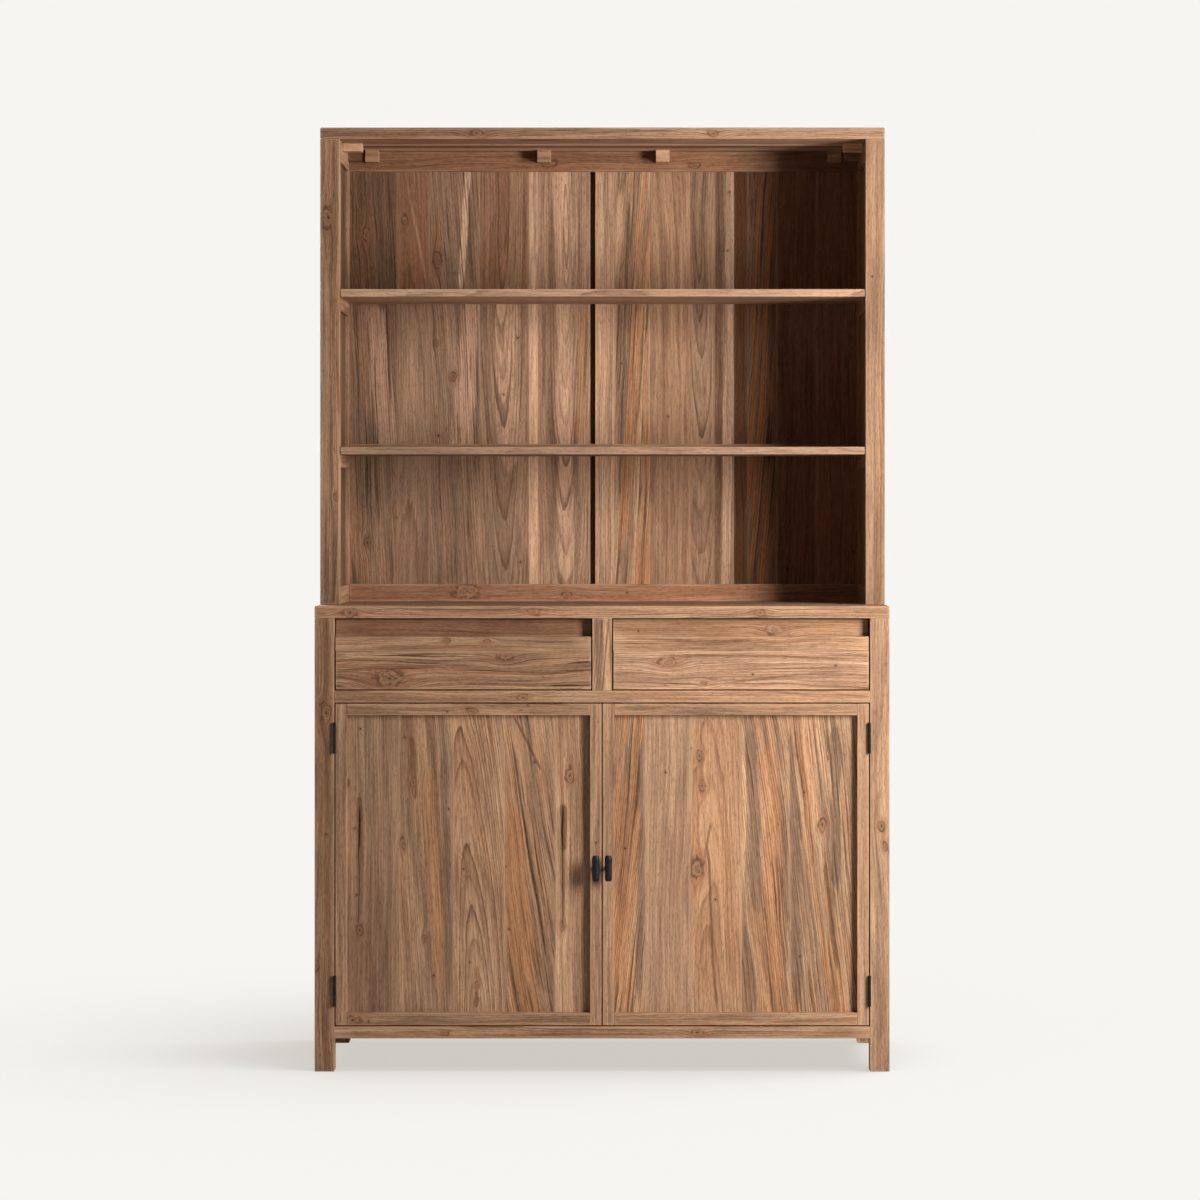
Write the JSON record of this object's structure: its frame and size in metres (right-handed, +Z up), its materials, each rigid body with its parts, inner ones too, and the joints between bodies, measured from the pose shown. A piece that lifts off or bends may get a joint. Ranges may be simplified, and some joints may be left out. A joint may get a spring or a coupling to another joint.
{
  "type": "hutch cabinet",
  "caption": "Wooden hutch cabinet: a cupboard with framed plank doors and finger-pull drawers under an open shelf unit set back on its counter.",
  "frame": {"origin": "on the floor, under the centre of the box of the whole cabinet with its doors shut", "axes": "+X to the right as seen from the front, +Y from the front to the back, +Z up"},
  "size_m": [1.2, 0.477, 1.985],
  "materials": {
    "teak_frame": "oiled, satin",
    "teak_planks": "oiled, satin",
    "teak_inner": "bare, matt",
    "black_iron": "hammered, waxed",
    "plate_steel": "zinc plated"
  },
  "bodies": {
    "carcass": {"base_back_frame": "teak_frame", "base_back_panels": "teak_planks", "base_side_panel_left": "teak_planks", "base_side_panel_right": "teak_planks", "base_side_rails": "teak_frame", "bottom_bearers": "teak_inner", "bottom_board": "teak_inner", "counter_top": "teak_planks", "door_catches": "plate_steel", "drawer_center_runner": "teak_inner", "drawer_divider": "teak_frame", "drawer_side_runners": "teak_inner", "front_bottom_rail": "teak_frame", "front_middle_rail": "teak_frame", "hinge_pins": "black_iron", "hutch_back_muntin": "teak_frame", "hutch_back_panel_left": "teak_planks", "hutch_back_panel_right": "teak_planks", "hutch_back_rails": "teak_frame", "hutch_post_front_left": "teak_frame", "hutch_post_front_right": "teak_frame", "hutch_post_rear_left": "teak_frame", "hutch_post_rear_right": "teak_frame", "hutch_shelf_back_strip": "teak_frame", "hutch_shelf_cleats": "teak_inner", "hutch_shelf_lower": "teak_planks", "hutch_shelf_upper": "teak_planks", "hutch_side_panel_left": "teak_planks", "hutch_side_panel_right": "teak_planks", "hutch_side_rails": "teak_frame", "hutch_top": "teak_planks", "hutch_top_blocks": "teak_inner", "inner_shelf": "teak_inner", "inner_shelf_cleats": "teak_inner", "joining_plates": "plate_steel", "leg_front_left": "teak_frame", "leg_front_right": "teak_frame", "leg_hinge_leaves": "black_iron", "leg_rear_left": "teak_frame", "leg_rear_right": "teak_frame"},
    "door_left": {"door_left_hinge_leaves": "black_iron", "door_left_hinge_stile": "teak_frame", "door_left_meeting_stile": "teak_frame", "door_left_panel": "teak_planks", "door_left_pull": "black_iron", "door_left_rails": "teak_frame"},
    "door_right": {"door_right_hinge_leaves": "black_iron", "door_right_hinge_stile": "teak_frame", "door_right_meeting_stile": "teak_frame", "door_right_panel": "teak_planks", "door_right_pull": "black_iron", "door_right_rails": "teak_frame"},
    "drawer_left": {"drawer_left_back": "teak_inner", "drawer_left_bottom": "teak_inner", "drawer_left_front": "teak_frame", "drawer_left_sides": "teak_inner"},
    "drawer_right": {"drawer_right_back": "teak_inner", "drawer_right_bottom": "teak_inner", "drawer_right_front": "teak_frame", "drawer_right_sides": "teak_inner"}
  },
  "joints": [
    {"name": "door_left_hinge", "type": "hinge", "parent": "carcass", "child": "door_left", "pos_m": [-0.5578, -0.2152, 0.432], "axis": [0, 0, -1], "range_deg": [0, 170]},
    {"name": "door_right_hinge", "type": "hinge", "parent": "carcass", "child": "door_right", "pos_m": [0.5578, -0.2152, 0.432], "axis": [0, 0, 1], "range_deg": [0, 170]},
    {"name": "drawer_left_slide", "type": "slide", "parent": "carcass", "child": "drawer_left", "axis": [0, -1, 0], "range_m": [0, 0.3]},
    {"name": "drawer_right_slide", "type": "slide", "parent": "carcass", "child": "drawer_right", "axis": [0, -1, 0], "range_m": [0, 0.3]}
  ]
}
